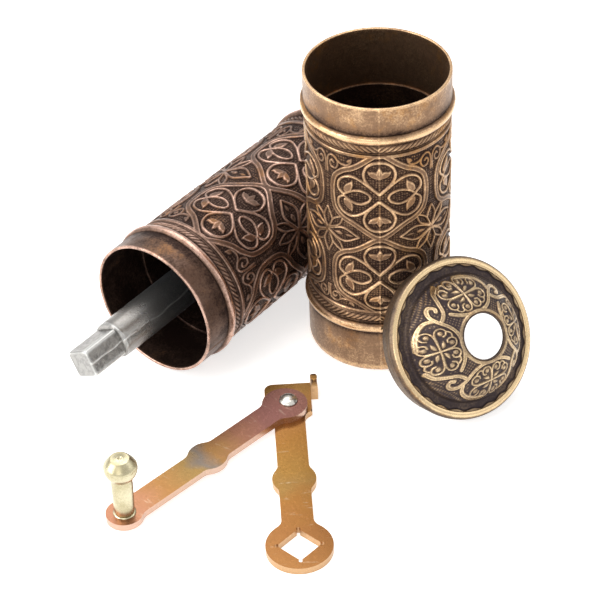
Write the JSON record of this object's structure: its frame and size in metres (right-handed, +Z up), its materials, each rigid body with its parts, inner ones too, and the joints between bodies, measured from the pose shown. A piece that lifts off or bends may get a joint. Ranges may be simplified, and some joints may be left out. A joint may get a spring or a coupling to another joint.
{
  "type": "turkish coffee grinder",
  "caption": "Disassembled Turkish hand coffee mill: ornate standing catch cup, ornate hopper with burr mill and square shaft, holed dome lid, and a folding crank with a knob.",
  "frame": {"origin": "centre of the standing catch cup's base", "axes": "+Z up along the catch cup's axis; -Y towards the viewer of the picture; +X to the viewer's right"},
  "size_m": [0.1578, 0.23, 0.1111],
  "materials": {
    "antique_brass": "aged satin with dark recesses",
    "antique_copper_brass": "aged satin with dark recesses",
    "olive_brass": "aged satin with dark recesses",
    "plated_tube": "satin",
    "burr_iron": "cast",
    "plain_steel": "satin",
    "shaft_iron": "cast with a parting line",
    "guide_iron": "cast",
    "adjuster_brass": "turned",
    "ball_steel": "polished",
    "yellow_zinc": "yellow zinc plate",
    "bright_steel": "bright",
    "pale_brass": "polished"
  },
  "bodies": {
    "cup": {"catch_cup": "antique_brass"},
    "hopper": {"hopper_body": "antique_copper_brass", "mill_sleeve": "plated_tube", "outer_burr": "burr_iron", "shaft_guide": "guide_iron", "bridge_bar": "plain_steel", "bridge_screws": "plain_steel", "lock_nut": "adjuster_brass"},
    "thrust": {"thrust_ball": "ball_steel", "burr_spring": "plain_steel"},
    "adjuster": {"adjusting_screw": "adjuster_brass"},
    "shaft": {"drive_shaft": "shaft_iron", "inner_burr": "burr_iron", "burr_pin": "plain_steel", "spring_washer": "plain_steel"},
    "lid": {"dome_lid": "olive_brass"},
    "crank": {"inner_arm": "yellow_zinc", "pivot_rivet": "bright_steel"},
    "crank_outer": {"outer_arm": "yellow_zinc"},
    "knob": {"crank_knob": "pale_brass"}
  },
  "joints": [
    {"name": "hopper_lift", "type": "slide", "parent": "cup", "child": "hopper", "axis": [0, 0, 1], "range_m": [0, 0.05]},
    {"name": "grind_gap", "type": "slide", "parent": "hopper", "child": "thrust", "axis": [-0.628, -0.7782, 0], "range_m": [0, 0.0012]},
    {"name": "adjust_turn", "type": "hinge", "parent": "thrust", "child": "adjuster", "pos_m": [0.00273, 0.08401, 0.02615], "axis": [-0.628, -0.7782, 0], "range_deg": [0, 432.5]},
    {"name": "shaft_spin", "type": "hinge", "parent": "thrust", "child": "shaft", "pos_m": [0.00273, 0.08401, 0.02615], "axis": [-0.628, -0.7782, 0], "continuous": true},
    {"name": "lid_off", "type": "slide", "parent": "cup", "child": "lid", "axis": [0.4581, -0.6791, 0.5736], "range_m": [0, 0.06]},
    {"name": "crank_lift", "type": "slide", "parent": "cup", "child": "crank", "axis": [0, 0, 1], "range_m": [0, 0.05]},
    {"name": "crank_fold", "type": "hinge", "parent": "crank", "child": "crank_outer", "pos_m": [-0.0334, -0.0438, 0], "axis": [0, 0, 1], "range_deg": [-38, 90]},
    {"name": "knob_spin", "type": "hinge", "parent": "crank_outer", "child": "knob", "pos_m": [-0.08789, -0.09678, 0], "axis": [0, 0, 1], "continuous": true}
  ],
  "couplings": [
    {"joint": "adjust_turn", "follows": "grind_gap", "rad_per_m": 6283.2}
  ]
}
